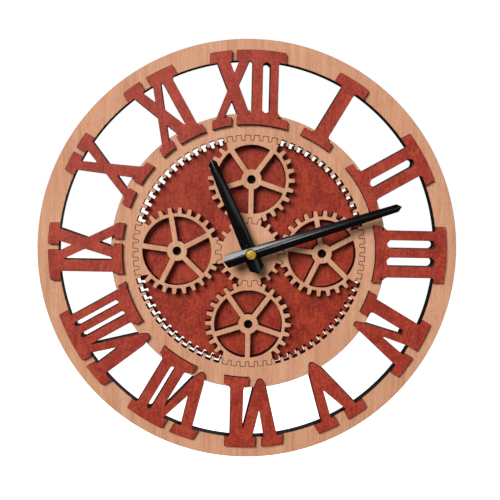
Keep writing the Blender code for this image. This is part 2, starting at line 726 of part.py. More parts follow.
def build_bushing():
    flange_front = FLOOR_DEPTH - GAP
    flange_back = flange_front - BUSHING_FLANGE_THICKNESS
    profile = [(BUSHING_BORE, flange_back), (BUSHING_FLANGE, flange_back),
               (BUSHING_FLANGE, flange_front), (BUSHING_RADIUS, flange_front),
               (BUSHING_RADIUS, BUSHING_FRONT - BUSHING_CHAMFER),
               (BUSHING_RADIUS - BUSHING_CHAMFER, BUSHING_FRONT), (BUSHING_BORE, BUSHING_FRONT)]
    smooth(add_object("threaded_bushing", turned_mesh("threaded_bushing", profile, 20),
                      (BRASS, 0.35, 1.0)))


def build_nut():
    corner_radius = NUT_FLATS / sqrt(3.0)
    layers = [("add", circle(corner_radius, 6)), ("cut", circle(BUSHING_RADIUS + GAP, 20))]
    plate("hex_nut", layers, NUMERAL_BACK, NUMERAL_BACK + NUT_THICKNESS, (BRASS, 0.35, 1.0))


def build_gasket():
    layers = [("add", circle(GASKET_RADIUS, 28)), ("cut", circle(GASKET_BORE, 20))]
    plate("rubber_gasket", layers, GASKET_BACK, GASKET_BACK + GASKET_THICKNESS, (BLACK, 0.8))


# ---- Movement: wheels ----

def build_wheel(name, at, discs, posts, finish, bore=0.0):
    """Wheel and pinions on one arbor: discs are (teeth, tip radius, back, front)."""
    parts = []
    for i, (teeth, tip, back, front) in enumerate(discs):
        layers = [("add", gear_outline(teeth, tip))]
        parts.append(cutter(f"{name}_disc_{i}", layers, back, front, at))
    for i, (radius, back, front) in enumerate(posts):
        parts.append(post(f"{name}_post_{i}", radius, back, front, 12, at))
    thing = parts.pop(0)
    thing.name = name
    thing.data.materials.append(finish_material(name, *finish))
    union(thing, parts)
    if bore:
        drill = post(name + "_drill", bore, -2.0, CAP_FRONT, 12, at)
        apply_boolean(thing, [drill], "DIFFERENCE")


def build_wheels(motion, third, intermediate, rotor):
    """The motion work and the going train; each wheel turns on its own arbor."""
    axis = (0.0, 0.0)
    plastic = (WHITE_PLASTIC, 0.45)
    build_wheel("centre_wheel", axis, [CENTRE_WHEEL, CANNON_PINION], [CENTRE_SHAFT, CENTRE_NECK],
                (BRASS, 0.35, 1.0))
    build_wheel("hour_wheel", axis, [HOUR_WHEEL], [HOUR_PIPE], plastic, HOUR_PIPE_BORE)
    build_wheel("minute_wheel", motion, [MINUTE_WHEEL, MINUTE_PINION], [MINUTE_ARBOR], plastic)
    build_wheel("third_wheel", third, [THIRD_WHEEL, THIRD_PINION], [THIRD_ARBOR], plastic)
    build_wheel("seconds_wheel", axis, [SECONDS_WHEEL, SECONDS_PINION], [SECONDS_ARBOR], plastic)
    build_wheel("intermediate_wheel", intermediate, [INTERMEDIATE_WHEEL, INTERMEDIATE_PINION],
                [INTERMEDIATE_ARBOR], plastic)
    build_wheel("rotor", rotor, [ROTOR_PINION], [ROTOR_MAGNET, ROTOR_ARBOR], (STEEL, 0.35, 1.0))


def build_set_knob(at):
    """Ribbed setting knob whose pinion turns the minute wheel."""
    step = 180.0 / KNOB_RIBS
    grip = [polar(step * i, KNOB_RADIUS - (0.0 if i % 2 else KNOB_GROOVE)) for i in range(2 * KNOB_RIBS)]
    knob = cutter("set_knob", [("add", grip)], KNOB_BACK, KNOB_FRONT, at)
    knob.data.materials.append(finish_material("set_knob", BLACK, 0.5))
    teeth, tip, back, front = CANNON_PINION
    pinion = cutter("knob_pinion", [("add", gear_outline(teeth, tip))], back, front, at)
    union(knob, [post("knob_shaft", *KNOB_SHAFT, 12, at), pinion])


# ---- Movement: motor, circuit and battery ----

def build_stator(rotor):
    x, z = rotor
    body = rectangle(x - STATOR_LEFT, COIL_X + STATOR_RIGHT, z - STATOR_HALF, z + STATOR_HALF)
    core = rectangle(COIL_X - CORE_HALF, COIL_X + CORE_HALF, z, COIL_TOP + CORE_END)
    layers = [("add", body), ("add", core), ("cut", circle(STATOR_HOLE, 20, rotor))]
    plate("stator", layers, STATOR_BACK, STATOR_FRONT, (STEEL, 0.35, 1.0))


def build_coil():
    """Copper winding between two flanges, around the stator's core."""
    height = COIL_TOP - COIL_BOTTOM
    wound = COIL_RADIUS - COIL_STEP
    profile = [(COIL_BORE, 0.0), (COIL_RADIUS, 0.0), (COIL_RADIUS, COIL_FLANGE),
               (wound, COIL_FLANGE), (wound, height - COIL_FLANGE),
               (COIL_RADIUS, height - COIL_FLANGE), (COIL_RADIUS, height), (COIL_BORE, height)]
    mesh = turned_mesh("coil", profile, 16)
    middle = (STATOR_BACK + STATOR_FRONT) / 2
    mesh.transform(Matrix.Rotation(-pi / 2, 4, "X"))
    mesh.transform(Matrix.Translation((0.0, -middle * MM, 0.0)))
    coil = add_object("coil", mesh, (COPPER, 0.35, 0.8), (COIL_X, COIL_BOTTOM))
    smooth(coil)


def build_middle_plate(knob):
    inside = CASE_HALF - WALL - GAP
    layers = [("add", rectangle(-inside, MIDDLE_RIGHT, BAY_SPLIT + GAP, inside)),
              ("cut", circle(MINUTE_SHAFT + GAP, 12)), ("cut", circle(KNOB_SHAFT[0] + GAP, 12, knob))]
    plate("middle_plate", layers, MIDDLE_BACK, MIDDLE_FRONT, (WHITE_PLASTIC, 0.5))


def build_circuit_board():
    plate("circuit_board", [("add", rectangle(*CIRCUIT_BOARD))], CIRCUIT_BACK, CIRCUIT_FRONT,
          (BOARD_GREEN, 0.45))
    plate("driver_chip", [("add", rectangle(*CHIP))], CIRCUIT_FRONT + GAP, CHIP_FRONT, (BLACK, 0.4))


def build_crystal():
    profile = [(0.0, 0.0), (CRYSTAL_RADIUS, 0.0), (CRYSTAL_RADIUS, CRYSTAL_LENGTH),
               (0.0, CRYSTAL_LENGTH)]
    mesh = turned_mesh("quartz_crystal", profile, 12)
    mesh.transform(Matrix.Rotation(-pi / 2, 4, "X"))
    mesh.transform(Matrix.Translation((0.0, -CRYSTAL_DEPTH * MM, 0.0)))
    smooth(add_object("quartz_crystal", mesh, (STEEL, 0.3, 1.0), CRYSTAL_FOOT))


def build_battery():
    """Round cell lying across the bottom bay, its raised end to the right."""
    length = BATTERY_RIGHT - BATTERY_LEFT
    end = length + BATTERY_NUB
    profile = [(0.0, 0.0), (BATTERY_RADIUS - BATTERY_EDGE, 0.0), (BATTERY_RADIUS, BATTERY_EDGE),
               (BATTERY_RADIUS, length - BATTERY_EDGE), (BATTERY_RADIUS - BATTERY_EDGE, length),
               (BATTERY_NUB_RADIUS, length), (BATTERY_NUB_RADIUS, end), (0.0, end)]
    mesh = turned_mesh("battery", profile, 28)
    mesh.transform(Matrix.Rotation(pi / 2, 4, "Z"))
    mesh.transform(Matrix.Translation((0.0, -BATTERY_DEPTH * MM, 0.0)))
    cell = add_object("battery", mesh, (JACKET, 0.35, 0.3), (BATTERY_LEFT, BATTERY_Z))
    smooth(cell)


def build_contacts():
    """Contact strips at the two ends of the battery."""
    nub_end = BATTERY_RIGHT + BATTERY_NUB + GAP
    cup_end = BATTERY_LEFT - GAP
    for name, left, right in (("positive_contact", nub_end, nub_end + CONTACT_THICKNESS),
                              ("negative_contact", cup_end - CONTACT_THICKNESS, cup_end)):
        strip = rectangle(left, right, BATTERY_Z - CONTACT_HALF, BATTERY_Z + CONTACT_HALF)
        plate(name, [("add", strip)], CONTACT_BACK, CONTACT_FRONT, (STEEL, 0.3, 1.0))


def build_movement():
    motion = polar(MOTION_ANGLE, CANNON_PINION[1] + MINUTE_WHEEL[1] + 2 * TIP_GAP)
    knob = polar(KNOB_ANGLE, CANNON_PINION[1] + MINUTE_WHEEL[1] + 2 * TIP_GAP, motion)
    third = polar(THIRD_ANGLE, THIRD_WHEEL[1] + SECONDS_PINION[1] + TIP_GAP)
    intermediate = polar(INTERMEDIATE_ANGLE, SECONDS_WHEEL[1] + INTERMEDIATE_PINION[1] + TIP_GAP)
    rotor = polar(ROTOR_ANGLE, INTERMEDIATE_WHEEL[1] + ROTOR_PINION[1] + TIP_GAP, intermediate)
    build_case()
    build_back_cover(knob)
    build_hanger()
    build_bushing()
    build_nut()
    build_gasket()
    build_wheels(motion, third, intermediate, rotor)
    build_set_knob(knob)
    build_stator(rotor)
    build_coil()
    build_middle_plate(knob)
    build_circuit_board()
    build_crystal()
    build_battery()
    build_contacts()


def main():
    clear_scene()
    build_outer_ring()
    build_gear_ring()
    build_sun_gear()
    for side, setting in PLANETS.items():
        build_planet(side, *setting)
    build_backing_disc()
    for hour in NUMERALS:
        build_numeral(hour)
    build_hand("hour_hand", HOUR_HAND, HOUR_ANGLE, HOUR_HAND_DEPTH, HOUR_HAND_HOLE)
    build_hand("minute_hand", MINUTE_HAND, MINUTE_ANGLE, MINUTE_HAND_DEPTH, MINUTE_HAND_HOLE)
    build_cap()
    build_movement()


main()
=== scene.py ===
import json
from math import ceil, cos, pi, radians, sin, sqrt, tan

import bmesh
import bpy
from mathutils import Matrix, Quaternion, Vector
from mathutils.geometry import delaunay_2d_cdt


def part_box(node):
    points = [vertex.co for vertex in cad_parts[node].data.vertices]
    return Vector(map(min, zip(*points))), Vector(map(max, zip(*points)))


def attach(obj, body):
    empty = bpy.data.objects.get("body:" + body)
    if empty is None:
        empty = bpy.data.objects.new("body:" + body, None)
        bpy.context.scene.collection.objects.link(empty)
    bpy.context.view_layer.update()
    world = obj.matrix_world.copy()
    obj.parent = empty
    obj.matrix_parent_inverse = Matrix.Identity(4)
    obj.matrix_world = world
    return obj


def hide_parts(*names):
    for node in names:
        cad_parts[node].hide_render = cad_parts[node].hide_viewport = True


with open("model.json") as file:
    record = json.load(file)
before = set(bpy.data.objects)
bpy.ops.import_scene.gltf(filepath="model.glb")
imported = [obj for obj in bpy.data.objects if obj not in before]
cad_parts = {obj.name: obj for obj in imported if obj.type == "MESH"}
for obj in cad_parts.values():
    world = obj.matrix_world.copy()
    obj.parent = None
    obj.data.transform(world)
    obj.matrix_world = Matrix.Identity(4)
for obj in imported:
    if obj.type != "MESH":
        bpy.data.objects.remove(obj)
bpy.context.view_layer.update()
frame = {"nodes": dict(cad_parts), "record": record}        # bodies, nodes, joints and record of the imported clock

MM = 0.001
TINY = 1e-6               # distance under which points count as one
WHITE = (1.0, 1.0, 1.0, 1.0)

# Wooden plates: rounding of their edges and width of the scorched rim
EDGE_ROUND = 0.14
EASED_SHARE = 0.3         # of the edge's rounding, at its middle step
SCORCH_WIDTH = 0.38
SCORCH_AT_EDGE = 0.8      # how brown the rim is where it meets the rounding
CHARRED_STEPS = (2, 3, 4)  # steps of the wall that the laser blackened
KERF_TAKEN = 0.08         # how far each edge grows into the CAD's 0.3 mm clearance

# How both are narrowed where an outline comes close to itself
EDGE_NARROWING = 0.9
RIM_NARROWING = 0.7
NARROWEST_RIM = 0.02

# Reading outlines from the CAD
FACING_FRONT = -0.9       # Y of a normal, at most
SHORTEST_SIDE = 0.3
STRAIGHT_TURN = radians(0.25)
ARC_STEP = 1.2
ARC_FIT = 0.02

# Rounding of the outlines' corners
CRISP_CORNER = 0.45
SOFT_CORNER = 1.8
SOFT_TURN = radians(60.0)
PLAIN_TURN = radians(12.0)
CORNER_STEP = radians(18.0)
MITRE_LIMIT = 0.35
TURN_GUARD = 0.05         # keeps the division finite where an outline turns back
SHORTEST_ROUNDING = 0.05
SHARE_OF_SIDE = 0.45      # most of a side that a rounding may take

# Circles that the plates' outlines follow: (centre, radius)
CENTRE = Vector((0.0, 0.0))
DISC_CENTRE = Vector((1.45, -0.2))
ORBIT = 52.0
RING_CIRCLES = [(CENTRE, r) for r in (150.0, 135.4, 98.5, 83.4)]
NUMERAL_CIRCLES = [(CENTRE, r) for r in (142.0, 134.5, 96.5, 90.5)]
BRIDGE_CIRCLES = [(CENTRE, r) for r in (135.1, 98.8)]
SUN_CIRCLES = [(CENTRE, 4.3)]
DISC_CIRCLES = [(DISC_CENTRE, 82.5), (CENTRE, 4.3)]
PLANET_PLACES = {"top": (0.0, ORBIT), "right": (ORBIT, 0.0),
                 "bottom": (0.0, -ORBIT), "left": (-ORBIT, 0.0)}
HOLE_SHADE_DEPTH = 23.0         # middle of the spots of painted shade in the planets' hub holes, in front of the disc

# Camera: place and target, turn about its own axis, and lens in millimetres
EYE = Vector((-0.0251, -0.5420, 0.0399))
AIM = Vector((0.00014, -0.0294, 0.00167))
ROLL = radians(1.34)
LENS = 51.73


# ---- Node trees ----

class Tree:
    """Short names for building one material's nodes; patterns are in the object's own space."""

    def __init__(self, name):
        self.material = bpy.data.materials.new(name)
        self.material.use_nodes = True
        self.nodes = self.material.node_tree.nodes
        self.shader = self.nodes["Principled BSDF"]
        self.place = self.nodes.new("ShaderNodeTexCoord").outputs["Object"]

    def join(self, value, socket):
        if isinstance(value, bpy.types.NodeSocket):
            self.material.node_tree.links.new(value, socket)
        else:
            socket.default_value = value

    def scaled(self, size, turn=(0.0, 0.0, 0.0)):
        """Object space in units of size, which gives millimetres along X, Y and Z."""
        mapping = self.nodes.new("ShaderNodeMapping")
        self.join(self.place, mapping.inputs["Vector"])
        mapping.inputs["Rotation"].default_value = [radians(a) for a in turn]
        mapping.inputs["Scale"].default_value = [1000.0 / s for s in size]
        return mapping.outputs["Vector"]

    def noise(self, size, detail=3.0, roughness=0.55, distortion=0.0, turn=(0.0, 0.0, 0.0)):
        node = self.nodes.new("ShaderNodeTexNoise")
        self.join(self.scaled(size, turn), node.inputs["Vector"])
        node.inputs["Scale"].default_value = 1.0
        node.inputs["Detail"].default_value = detail
        node.inputs["Roughness"].default_value = roughness
        node.inputs["Distortion"].default_value = distortion
        return node.outputs["Fac"]

    def cells(self, size, feature="F1", randomness=1.0):
        node = self.nodes.new("ShaderNodeTexVoronoi")
        node.feature = feature
        self.join(self.scaled(size), node.inputs["Vector"])
        node.inputs["Scale"].default_value = 1.0
        node.inputs["Randomness"].default_value = randomness
        return node.outputs["Distance"]

    def rings(self, size, axis, distortion=0.0):
        """Fine turned marks round an axis."""
        node = self.nodes.new("ShaderNodeTexWave")
        node.wave_type = "RINGS"
        node.rings_direction = axis
        self.join(self.scaled(size), node.inputs["Vector"])
        node.inputs["Scale"].default_value = 1.0
        node.inputs["Distortion"].default_value = distortion
        return node.outputs["Fac"]

    def spot(self, place, inner, outer):
        """One inside a sphere of an inner radius and nought beyond an outer one."""
        node = self.nodes.new("ShaderNodeVectorMath")
        node.operation = "DISTANCE"
        self.join(self.place, node.inputs[0])
        node.inputs[1].default_value = [c * MM for c in place]
        return self.span(node.outputs["Value"], inner * MM, outer * MM, 1.0, 0.0)

    def attribute(self, name):
        node = self.nodes.new("ShaderNodeAttribute")
        node.attribute_name = name
        return node.outputs["Fac"]

    def math(self, operation, a, b=0.0, clamp=False):
        node = self.nodes.new("ShaderNodeMath")
        node.operation = operation
        node.use_clamp = clamp
        self.join(a, node.inputs[0])
        self.join(b, node.inputs[1])
        return node.outputs["Value"]

    def blend(self, *weighted):
        """Weighted sum of values."""
        total = None
        for value, weight in weighted:
            part = self.math("MULTIPLY", value, weight)
            total = part if total is None else self.math("ADD", total, part)
        return total

    def span(self, value, low, high, to_low=0.0, to_high=1.0):
        node = self.nodes.new("ShaderNodeMapRange")
        self.join(value, node.inputs["Value"])
        limits = {"From Min": low, "From Max": high, "To Min": to_low, "To Max": to_high}
        for name, number in limits.items():
            node.inputs[name].default_value = number
        return node.outputs["Result"]

    def ramp(self, value, stops):
        node = self.nodes.new("ShaderNodeValToRGB")
        elements = node.color_ramp.elements
        while len(elements) < len(stops):
            elements.new(0.5)
        for element, (position, colour) in zip(elements, stops):
            element.position = position
            element.color = (*colour, 1.0)
        self.join(value, node.inputs["Fac"])
        return node.outputs["Color"]

    def mix(self, factor, first, second, kind="MIX"):
        node = self.nodes.new("ShaderNodeMix")
        node.data_type = "RGBA"
        node.blend_type = kind
        self.join(factor, node.inputs["Factor"])
        colour_inputs, colour_output = (6, 7), 2
        for number, colour in zip(colour_inputs, (first, second)):
            linked = isinstance(colour, bpy.types.NodeSocket)
            self.join(colour if linked else (*colour, 1.0), node.inputs[number])
        return node.outputs[colour_output]

    def relief(self, height, distance, strength=1.0):
        """Bump of a height from 0 to 1; distance is in millimetres."""
        node = self.nodes.new("ShaderNodeBump")
        node.inputs["Strength"].default_value = strength
        node.inputs["Distance"].default_value = distance * MM
        self.join(height, node.inputs["Height"])
        self.join(node.outputs["Normal"], self.shader.inputs["Normal"])

    def finish(self, colour, roughness, metallic=0.0, specular=0.5):
        """Joins colour and roughness, and sets the shader's other numbers."""
        if isinstance(colour, bpy.types.NodeSocket):
            self.join(colour, self.shader.inputs["Base Color"])
        else:
            self.shader.inputs["Base Color"].default_value = (*colour, 1.0)
        self.join(roughness, self.shader.inputs["Roughness"])
        self.shader.inputs["Metallic"].default_value = metallic
        self.shader.inputs["Specular IOR Level"].default_value = specular
        return self.material


def srgb(red, green, blue):
    """Linear colour from 0-255 display values."""
    return tuple(((v / 255 + 0.055) / 1.055) ** 2.4 if v > 10 else v / 255 / 12.92
                 for v in (red, green, blue))


# ---- Materials ----

def light_wood():
    """Sanded light veneer with its grain upright, browned in a thin rim along every laser cut."""
    tree = Tree("light_wood")
    bands = tree.noise((4.2, 60.0, 130.0), detail=4.0, distortion=0.3)
    streaks = tree.noise((0.75, 14.0, 26.0), detail=3.0, roughness=0.65)
    clouds = tree.noise((30.0, 30.0, 46.0), detail=2.0)
    fibres = tree.noise((0.3, 3.0, 4.0), detail=3.0, roughness=0.7)
    flakes = tree.noise((0.8, 3.0, 1.6), detail=3.0, roughness=0.7)
    tone = tree.blend((bands, 0.3), (streaks, 0.34), (clouds, 0.18), (flakes, 0.18))
    colour = tree.ramp(tone, [(0.41, srgb(192, 134, 98)), (0.47, srgb(214, 154, 117)),
                              (0.53, srgb(224, 167, 130)), (0.61, srgb(235, 182, 146))])
    blush = tree.span(tree.noise((3.4, 9.0, 7.0), detail=3.0, roughness=0.6), 0.42, 0.6)
    colour = tree.mix(tree.math("MULTIPLY", blush, 0.34), colour, srgb(222, 148, 124))
    pores = tree.span(tree.noise((0.4, 6.0, 6.0), detail=1.0), 0.6, 0.7)
    colour = tree.mix(tree.math("MULTIPLY", pores, 0.5), colour, srgb(160, 102, 70))
    colour = tree.mix(tree.span(fibres, 0.4, 0.6, 0.0, 0.22), colour, srgb(236, 186, 150))
    scorch = tree.math("MULTIPLY", tree.attribute("scorch"), tree.span(clouds, 0.3, 0.7, 0.75, 1.0))
    colour = tree.mix(tree.span(scorch, 0.0, 1.0, 0.0, 0.62), colour, srgb(104, 64, 40))
    tree.relief(tree.blend((streaks, 0.5), (fibres, 0.5)), 0.05, 0.5)
    return tree.finish(colour, tree.span(streaks, 0.3, 0.7, 0.52, 0.66), specular=0.18)


def stained_wood(name, dark, middle, light, sheen, hole_shade_spots=()):
    """Red-brown stain that took unevenly, and near-black spots of painted shade on the disc behind the planets' hub
    holes.
    """
    tree = Tree(name)
    clouds = tree.noise((11.0, 12.0, 14.0), detail=5.0, roughness=0.6, distortion=0.5)
    speckle = tree.noise((1.9, 1.9, 2.2), detail=3.0, roughness=0.7, distortion=0.3)
    grain = tree.noise((1.2, 12.0, 12.0), detail=2.0, roughness=0.5)
    tone = tree.blend((clouds, 0.38), (speckle, 0.45), (grain, 0.17))
    colour = tree.ramp(tone, [(0.42, dark), (0.5, middle), (0.58, light)])
    dust = tree.span(tree.noise((0.9, 0.9, 1.0), detail=3.0, roughness=0.7), 0.5, 0.68)
    colour = tree.mix(tree.math("MULTIPLY", dust, 0.35), colour, srgb(196, 92, 62))
    scorch = tree.attribute("scorch")
    colour = tree.mix(tree.span(scorch, 0.0, 1.0, 0.0, 0.7), colour, srgb(48, 12, 8))
    # Painted shade: near-black spots where the disc shows through the planets' hub holes
    for place in hole_shade_spots:
        colour = tree.mix(tree.spot(place, 3.4, 4.1), colour, srgb(12, 3, 3))
    tree.relief(tree.blend((speckle, 0.8), (grain, 0.2)), 0.08, 0.5)
    return tree.finish(colour, tree.span(speckle, 0.3, 0.7, 0.48, 0.64), specular=sheen)


def charred_edge():
    """Laser-cut wall: soot with brown where the wood shows, and marks across the thickness."""
    tree = Tree("charred_edge")
    strokes = tree.noise((0.5, 9.0, 0.5), detail=3.0)
    layers = tree.noise((9.0, 0.7, 9.0), detail=2.0)
    tone = tree.blend((strokes, 0.6), (layers, 0.4))
    colour = tree.ramp(tone, [(0.35, srgb(5, 3, 2)), (0.55, srgb(15, 8, 5)), (0.7, srgb(42, 23, 13))])
    tree.relief(tone, 0.12, 0.7)
    return tree.finish(colour, tree.span(strokes, 0.3, 0.7, 0.75, 0.95), specular=0.12)


def black_lacquer():
    """Stamped aluminium with satin black lacquer, fine orange peel and rubbed streaks."""
    tree = Tree("hands_black")
    peel = tree.noise((0.8, 0.8, 0.8), detail=2.0)
    rubbed = tree.noise((7.0, 7.0, 1.4), detail=4.0, roughness=0.65, turn=(0.0, 18.0, 0.0))
    colour = tree.ramp(rubbed, [(0.35, (0.0014, 0.0014, 0.0017)), (0.7, (0.0036, 0.0036, 0.0040))])
    tree.relief(peel, 0.005, 0.25)
    return tree.finish(colour, tree.span(rubbed, 0.3, 0.7, 0.215, 0.235), specular=0.36)


def brass():
    """Turned brass: fine rings round the hands' axis, a little tarnish."""
    tree = Tree("brass")
    marks = tree.rings((0.55, 0.55, 0.55), "Y", distortion=1.2)
    tarnish = tree.noise((1.3, 1.3, 1.3), detail=4.0, roughness=0.6)
    colour = tree.ramp(tarnish, [(0.36, srgb(176, 128, 34)), (0.5, srgb(222, 182, 68)),
                                 (0.64, srgb(246, 218, 112))])
    tree.relief(tree.blend((marks, 0.5), (tarnish, 0.5)), 0.03, 0.5)
    return tree.finish(colour, tree.span(tarnish, 0.35, 0.65, 0.44, 0.28), metallic=1.0)


def moulded(name, dark, light, rough=(0.42, 0.56), grain=0.35):
    """Injection-moulded plastic with a fine spark-eroded grain and faint handling marks."""
    tree = Tree(name)
    pits = tree.cells((grain, grain, grain))
    flow = tree.noise((14.0, 14.0, 14.0), detail=4.0, roughness=0.6, distortion=0.4)
    rub = tree.noise((2.5, 2.5, 2.5), detail=5.0, roughness=0.7)
    colour = tree.ramp(tree.blend((flow, 0.6), (rub, 0.4)), [(0.38, dark), (0.62, light)])
    tree.relief(pits, 0.02, 0.45)
    return tree.finish(colour, tree.span(rub, 0.3, 0.7, *rough), specular=0.45)


def rubber():
    tree = Tree("gasket_rubber")
    bloom = tree.noise((3.0, 3.0, 3.0), detail=5.0, roughness=0.7)
    colour = tree.ramp(bloom, [(0.35, srgb(20, 20, 21)), (0.7, srgb(46, 45, 44))])
    tree.relief(tree.noise((0.3, 0.3, 0.3), detail=2.0), 0.03, 0.6)
    return tree.finish(colour, tree.span(bloom, 0.3, 0.7, 0.8, 0.95), specular=0.2)


def steel():
    """Rolled strip, drawn along Z, with small rub marks."""
    tree = Tree("steel")
    drawn = tree.noise((0.15, 0.15, 6.0), detail=3.0, roughness=0.6)
    stain = tree.noise((4.0, 4.0, 4.0), detail=4.0)
    colour = tree.ramp(stain, [(0.35, srgb(176, 175, 172)), (0.65, srgb(208, 207, 203))])
    tree.relief(drawn, 0.01, 0.4)
    return tree.finish(colour, tree.span(drawn, 0.3, 0.7, 0.28, 0.42), metallic=1.0)


def copper_wire():
    tree = Tree("copper_wire")
    enamel = tree.noise((0.6, 0.6, 2.0), detail=3.0)
    colour = tree.ramp(enamel, [(0.35, srgb(150, 70, 32)), (0.65, srgb(205, 112, 62))])
    tree.relief(enamel, 0.01, 0.4)
    return tree.finish(colour, tree.span(enamel, 0.3, 0.7, 0.25, 0.4), metallic=0.85)


def circuit_board():
    """Green solder mask over copper tracks."""
    tree = Tree("circuit_board")
    tracks = tree.cells((3.0, 3.0, 3.0), feature="DISTANCE_TO_EDGE", randomness=0.25)
    track = tree.span(tracks, 0.10, 0.14)
    weave = tree.noise((0.5, 0.5, 0.5), detail=2.0)
    mask = tree.ramp(weave, [(0.35, srgb(20, 88, 48)), (0.65, srgb(28, 108, 60))])
    colour = tree.mix(track, srgb(70, 150, 84), mask)
    tree.relief(track, 0.03, 0.5)
    return tree.finish(colour, tree.span(weave, 0.3, 0.7, 0.3, 0.42), specular=0.5)


def battery_jacket():
    """Printed foil sleeve in two plain colours, without marks."""
    tree = Tree("battery_jacket")
    wear = tree.noise((5.0, 5.0, 5.0), detail=5.0, roughness=0.65)
    across = tree.nodes.new("ShaderNodeSeparateXYZ")
    tree.join(tree.place, across.inputs["Vector"])
    band = tree.math("GREATER_THAN", across.outputs["X"], 9.5 * MM)
    body = tree.ramp(wear, [(0.35, srgb(24, 38, 62)), (0.65, srgb(34, 52, 82))])
    end = tree.ramp(wear, [(0.35, srgb(168, 170, 172)), (0.65, srgb(196, 198, 200))])
    tree.relief(wear, 0.03, 0.3)
    return tree.finish(tree.mix(band, body, end), tree.span(wear, 0.3, 0.7, 0.26, 0.4), metallic=0.35)


LIGHT_WOOD = light_wood()
NUMERAL_RED = stained_wood("red_wood", srgb(140, 38, 24), srgb(166, 52, 35), srgb(184, 72, 50), 0.28)
# The disc gets spots of painted shade behind the four planet hub holes
DISC_RED = stained_wood("red_wood_disc", srgb(130, 32, 18), srgb(162, 48, 28), srgb(180, 66, 40), 0.24,
                        [(x, -HOLE_SHADE_DEPTH, z) for x, z in PLANET_PLACES.values()])
CHAR = charred_edge()
LACQUER = black_lacquer()
BRASS = brass()
BLACK_PLASTIC = moulded("black_plastic", srgb(16, 16, 17), srgb(30, 30, 31))
CHIP = moulded("chip_plastic", srgb(26, 26, 28), srgb(40, 40, 42), rough=(0.6, 0.75), grain=0.15)
WHITE_PLASTIC = moulded("white_plastic", srgb(216, 215, 205), srgb(236, 235, 226), rough=(0.35, 0.5))
RUBBER = rubber()
STEEL = steel()
COPPER = copper_wire()
BOARD = circuit_board()
JACKET = battery_jacket()


# ---- Pieces ----

def body_of(node):
    bodies = frame["record"]["behaviour"]["bodies"]
    return next(body for body, members in bodies.items() if node in members)


def settle(bm, name, materials, nodes, smooth_angle=35.0):
    """Makes the mesh a piece that stands for its CAD nodes and rides on their body."""
    mesh = bpy.data.meshes.new(name)
    bmesh.ops.recalc_face_normals(bm, faces=bm.faces)
    bm.to_mesh(mesh)
    bm.free()
    for material in materials:
        mesh.materials.append(material)
    mesh.shade_smooth()
    mesh.set_sharp_from_angle(angle=radians(smooth_angle))
    piece = bpy.data.objects.new(name, mesh)
    bpy.context.scene.collection.objects.link(piece)
    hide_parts(*nodes)
    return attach(piece, body_of(nodes[0]))


def cad_mesh(node):
    """The CAD node's faces, welded."""
    bm = bmesh.new()
    bm.from_mesh(frame["nodes"][node].data)
    bmesh.ops.remove_doubles(bm, verts=bm.verts, dist=TINY)
    return bm


def depths_of(node):
    """Depths of a node's back and front, in millimetres from the wall."""
    low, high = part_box(node)
    return -high.y / MM, -low.y / MM


# ---- Wooden plates: CAD outlines with true arcs, rounded edges and a scorched rim ----

def front_loops(node):
    """Outlines of a plate's front face, in millimetres, with the wood on their left."""
    bm = cad_mesh(node)
    front = {face for face in bm.faces if face.normal.y < FACING_FRONT}
    follow = {}
    for face in front:
        for loop in face.loops:
            if not any(f in front for f in loop.edge.link_faces if f is not face):
                follow[loop.vert] = loop.link_loop_next.vert
    outlines = []
    while follow:
        vert, after = follow.popitem()
        outline = [vert]
        while after is not outline[0]:
            outline.append(after)
            after = follow.pop(after)
        outlines.append([Vector((v.co.x, v.co.z)) / MM for v in outline])
    bm.free()
    return [straightened(outline) for outline in outlines]


def straightened(outline):
    """Drops points that lie on a straight side or end a very short one."""
    outline = [here for i, here in enumerate(outline) if (here - outline[i - 1]).length > SHORTEST_SIDE]
    kept = []
    for i, here in enumerate(outline):
        arriving = here - outline[i - 1]
        leaving = outline[(i + 1) % len(outline)] - here
        if arriving.angle(leaving) > STRAIGHT_TURN:
            kept.append(here)
    return kept


def with_arcs(outline, circles):
    """Turns chords of the known circles into arcs of short steps."""
    points = []
    for i, here in enumerate(outline):
        there = outline[(i + 1) % len(outline)]
        points.append(here)
        for centre, radius in circles:
            start, end = here - centre, there - centre
            if max(abs(start.length - radius), abs(end.length - radius)) < ARC_FIT:
                turn = start.angle(end)
                steps = ceil(turn * radius / ARC_STEP)
                for k in range(1, steps):
                    middle = start.lerp(end, k / steps)
                    points.append(centre + middle.normalized() * radius)
                break
    return points


def corners_of(outline):
    """Each point with its arriving and leaving directions, and the reach of its rounding."""
    corners = []
    for i, here in enumerate(outline):
        arriving = here - outline[i - 1]
        leaving = outline[(i + 1) % len(outline)] - here
        turn = arriving.angle(leaving)
        radius = SOFT_CORNER if turn < SOFT_TURN else CRISP_CORNER
        reach = min(radius * tan(turn / 2), SHARE_OF_SIDE * arriving.length,
                    SHARE_OF_SIDE * leaving.length)
        steps = 0 if turn < PLAIN_TURN else ceil(turn / CORNER_STEP)
        corners.append((here, arriving.normalized(), leaving.normalized(), reach, steps))
    return corners


def contour(corners, distance):
    """The outline moved into the wood; every distance gives the same number of points."""
    points = []
    for here, arriving, leaving, reach, steps in corners:
        left_in = Vector((-arriving.y, arriving.x))
        left_out = Vector((-leaving.y, leaving.x))
        closeness = max(MITRE_LIMIT, 1.0 + left_in.dot(left_out))
        middle = here + (left_in + left_out) * (distance / closeness)
        if steps == 0:
            points.append(middle)
            continue
        convex = arriving.cross(leaving)
        shrink = distance * convex / (1.0 + arriving.dot(leaving) + TURN_GUARD)
        span = max(reach - shrink, SHORTEST_ROUNDING)
        start = middle - arriving * span
        end = middle + leaving * span
        for k in range(steps + 1):
            t = k / steps
            points.append(start * (1 - t) ** 2 + middle * (2 * t * (1 - t)) + end * t * t)
    return points


def triangulated(points, rings):
    """Points, triangles and their owners between closed rings of points."""
    return delaunay_2d_cdt(points, [], rings, 1, TINY)


